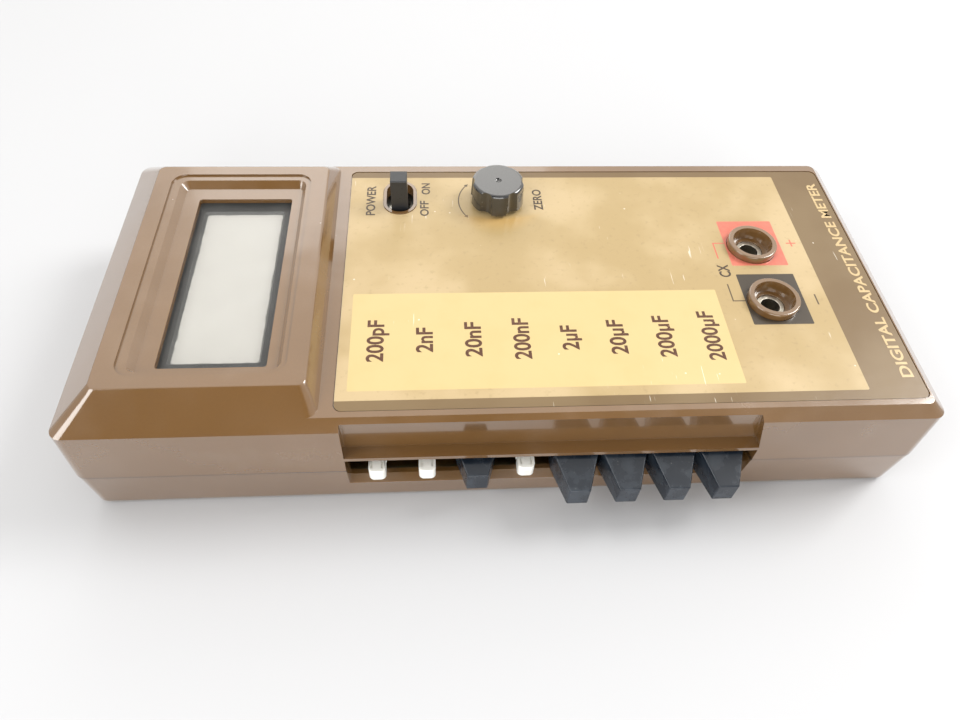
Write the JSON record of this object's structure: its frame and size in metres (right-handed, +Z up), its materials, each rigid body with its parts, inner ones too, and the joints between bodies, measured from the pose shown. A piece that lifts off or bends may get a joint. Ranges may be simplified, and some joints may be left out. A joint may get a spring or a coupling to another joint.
{
  "type": "digital capacitance meter",
  "caption": "Hand-held capacitance meter: two-shell case, raised liquid-crystal display, row of interlocked range keys, zero knob, power slider and two test sockets.",
  "frame": {"origin": "centre of the underside of the case, at the level it rests on", "axes": "+Z up out of the panel, +X along the case from the display end to the socket end, -Y out of the side with the range keys"},
  "size_m": [0.1716, 0.0855, 0.0357],
  "materials": {
    "case_brown": "gloss",
    "label_print": "satin",
    "window_clear": "clear",
    "bezel_black": "satin",
    "lcd": "satin",
    "black_rubber": "matte",
    "board_green": "satin",
    "ribbon_grey": "satin",
    "header_black": "satin",
    "switch_metal": "satin",
    "lever_brown": "satin",
    "pot_blue": "satin",
    "shaft_white": "satin",
    "knob_black": "satin",
    "steel": "satin",
    "switch_white": "satin",
    "plunger_white": "satin",
    "cap_blue_black": "gloss",
    "nickel": "gloss",
    "battery_jacket": "satin",
    "snap_black": "satin",
    "lead_red": "satin",
    "lead_black": "satin",
    "chip_black": "satin",
    "film_green": "gloss",
    "can_sleeve": "satin",
    "trimmer_blue": "satin",
    "resistor_body": "satin"
  },
  "bodies": {
    "case": {"battery": "battery_jacket", "battery_lead_black": "lead_black", "battery_lead_red": "lead_red", "battery_snap": "snap_black", "board_header": "header_black", "board_screws": "steel", "case_screws": "steel", "control_board": "board_green", "display_bezel": "bezel_black", "display_board": "board_green", "display_ribbon": "ribbon_grey", "display_window": "window_clear", "electrolytic_capacitors": "can_sleeve", "film_capacitors": "film_green", "front_label": "label_print", "latch_spring": "steel", "lcd_glass": "lcd", "logic_chips": "chip_black", "lower_case": "case_brown", "main_board": "board_green", "negative_socket": "nickel", "plunger_spring_1": "steel", "plunger_spring_2": "steel", "plunger_spring_3": "steel", "plunger_spring_4": "steel", "plunger_spring_5": "steel", "plunger_spring_6": "steel", "plunger_spring_7": "steel", "plunger_spring_8": "steel", "positive_socket": "nickel", "power_switch_body": "switch_metal", "range_switch_bodies": "switch_white", "range_switch_frame": "steel", "range_switch_pins": "steel", "resistors": "resistor_body", "socket_nuts": "nickel", "trimmers": "trimmer_blue", "upper_case": "case_brown", "zebra_strips": "black_rubber", "zero_pot_body": "pot_blue"},
    "power_lever": {"power_switch_lever": "lever_brown"},
    "zero_control": {"zero_pot_shaft": "shaft_white", "zero_knob": "knob_black"},
    "key_1": {"range_plunger_1": "plunger_white"},
    "key_2": {"range_plunger_2": "plunger_white"},
    "key_3": {"range_plunger_3": "plunger_white", "key_cap_3": "cap_blue_black"},
    "key_4": {"range_plunger_4": "plunger_white"},
    "key_5": {"range_plunger_5": "plunger_white", "key_cap_5": "cap_blue_black"},
    "key_6": {"range_plunger_6": "plunger_white", "key_cap_6": "cap_blue_black"},
    "key_7": {"range_plunger_7": "plunger_white", "key_cap_7": "cap_blue_black"},
    "key_8": {"range_plunger_8": "plunger_white", "key_cap_8": "cap_blue_black"},
    "latch": {"latch_bar": "steel"},
    "door": {"battery_door": "case_brown", "battery_pad": "black_rubber"}
  },
  "joints": [
    {"name": "power_slide", "type": "slide", "parent": "case", "child": "power_lever", "axis": [0, 1, 0], "range_m": [0, 0.0046]},
    {"name": "zero_turn", "type": "hinge", "parent": "case", "child": "zero_control", "pos_m": [0.0007, 0.0237, 0.031], "axis": [0, 0, 1], "range_deg": [-150, 150]},
    {"name": "key_1_press", "type": "slide", "parent": "case", "child": "key_1", "axis": [0, 1, 0], "range_m": [0, 0.004], "stiffness_N_per_m": 150, "deforming": ["plunger_spring_1"]},
    {"name": "key_2_press", "type": "slide", "parent": "case", "child": "key_2", "axis": [0, 1, 0], "range_m": [0, 0.004], "stiffness_N_per_m": 150, "deforming": ["plunger_spring_2"]},
    {"name": "key_3_press", "type": "slide", "parent": "case", "child": "key_3", "axis": [0, 1, 0], "range_m": [-0.004, 0], "deforming": ["plunger_spring_3"]},
    {"name": "key_4_press", "type": "slide", "parent": "case", "child": "key_4", "axis": [0, 1, 0], "range_m": [0, 0.004], "stiffness_N_per_m": 150, "deforming": ["plunger_spring_4"]},
    {"name": "key_5_press", "type": "slide", "parent": "case", "child": "key_5", "axis": [0, 1, 0], "range_m": [0, 0.004], "stiffness_N_per_m": 150, "deforming": ["plunger_spring_5"]},
    {"name": "key_6_press", "type": "slide", "parent": "case", "child": "key_6", "axis": [0, 1, 0], "range_m": [0, 0.004], "stiffness_N_per_m": 150, "deforming": ["plunger_spring_6"]},
    {"name": "key_7_press", "type": "slide", "parent": "case", "child": "key_7", "axis": [0, 1, 0], "range_m": [0, 0.004], "stiffness_N_per_m": 150, "deforming": ["plunger_spring_7"]},
    {"name": "key_8_press", "type": "slide", "parent": "case", "child": "key_8", "axis": [0, 1, 0], "range_m": [0, 0.004], "stiffness_N_per_m": 150, "deforming": ["plunger_spring_8"]},
    {"name": "latch_slide", "type": "slide", "parent": "case", "child": "latch", "axis": [1, 0, 0], "range_m": [0, 0.0012], "stiffness_N_per_m": 200, "deforming": ["latch_spring"]},
    {"name": "door_slide", "type": "slide", "parent": "case", "child": "door", "axis": [-1, 0, 0], "range_m": [0, 0.032]}
  ]
}
